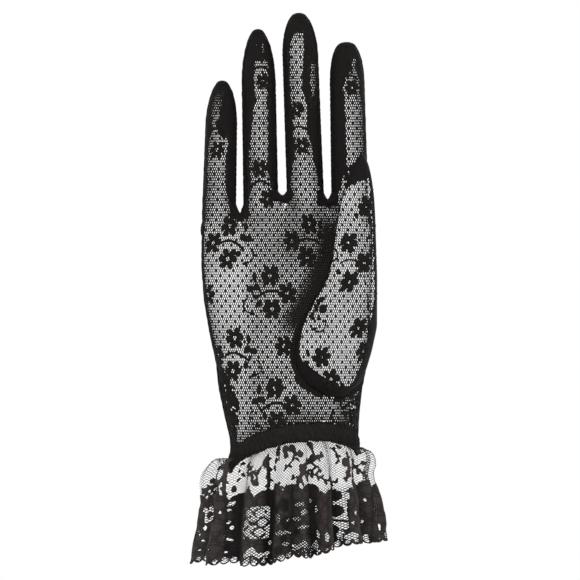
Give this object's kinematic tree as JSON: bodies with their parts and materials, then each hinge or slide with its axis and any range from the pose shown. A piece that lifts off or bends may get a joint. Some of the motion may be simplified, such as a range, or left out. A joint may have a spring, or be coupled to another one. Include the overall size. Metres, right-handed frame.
{
  "type": "lace glove",
  "caption": "Right-hand lace dress glove in its worn form, with a gathered elastic wrist and a wide ruffled cuff with a scalloped hem.",
  "frame": {"origin": "The middle of the elastic band at the wrist, in millimetres in the source and metres here.", "axes": "+X to the thumb's side, +Y to the back of the hand, +Z along the hand to the fingertips; the palm faces -Y."},
  "size_m": [0.0931, 0.0712, 0.2584],
  "materials": {
    "lace_net": "black stretch nylon lace net, matte with a slight thread sheen",
    "seam_lace": "the same black lace doubled at the seams, matte",
    "elastic_band": "black lace gathered on elastic, matte",
    "ruffle_lace": "black lace with a ribbed ground and a soft sheen"
  },
  "bodies": {
    "root": {"palm_panel": "lace_net", "back_panel": "lace_net", "fourchette_little_ring": "seam_lace", "fourchette_ring_middle": "seam_lace", "fourchette_middle_index": "seam_lace", "thumb": "lace_net", "wrist_band": "elastic_band", "cuff_ruffle": "ruffle_lace"}
  },
  "joints": []
}
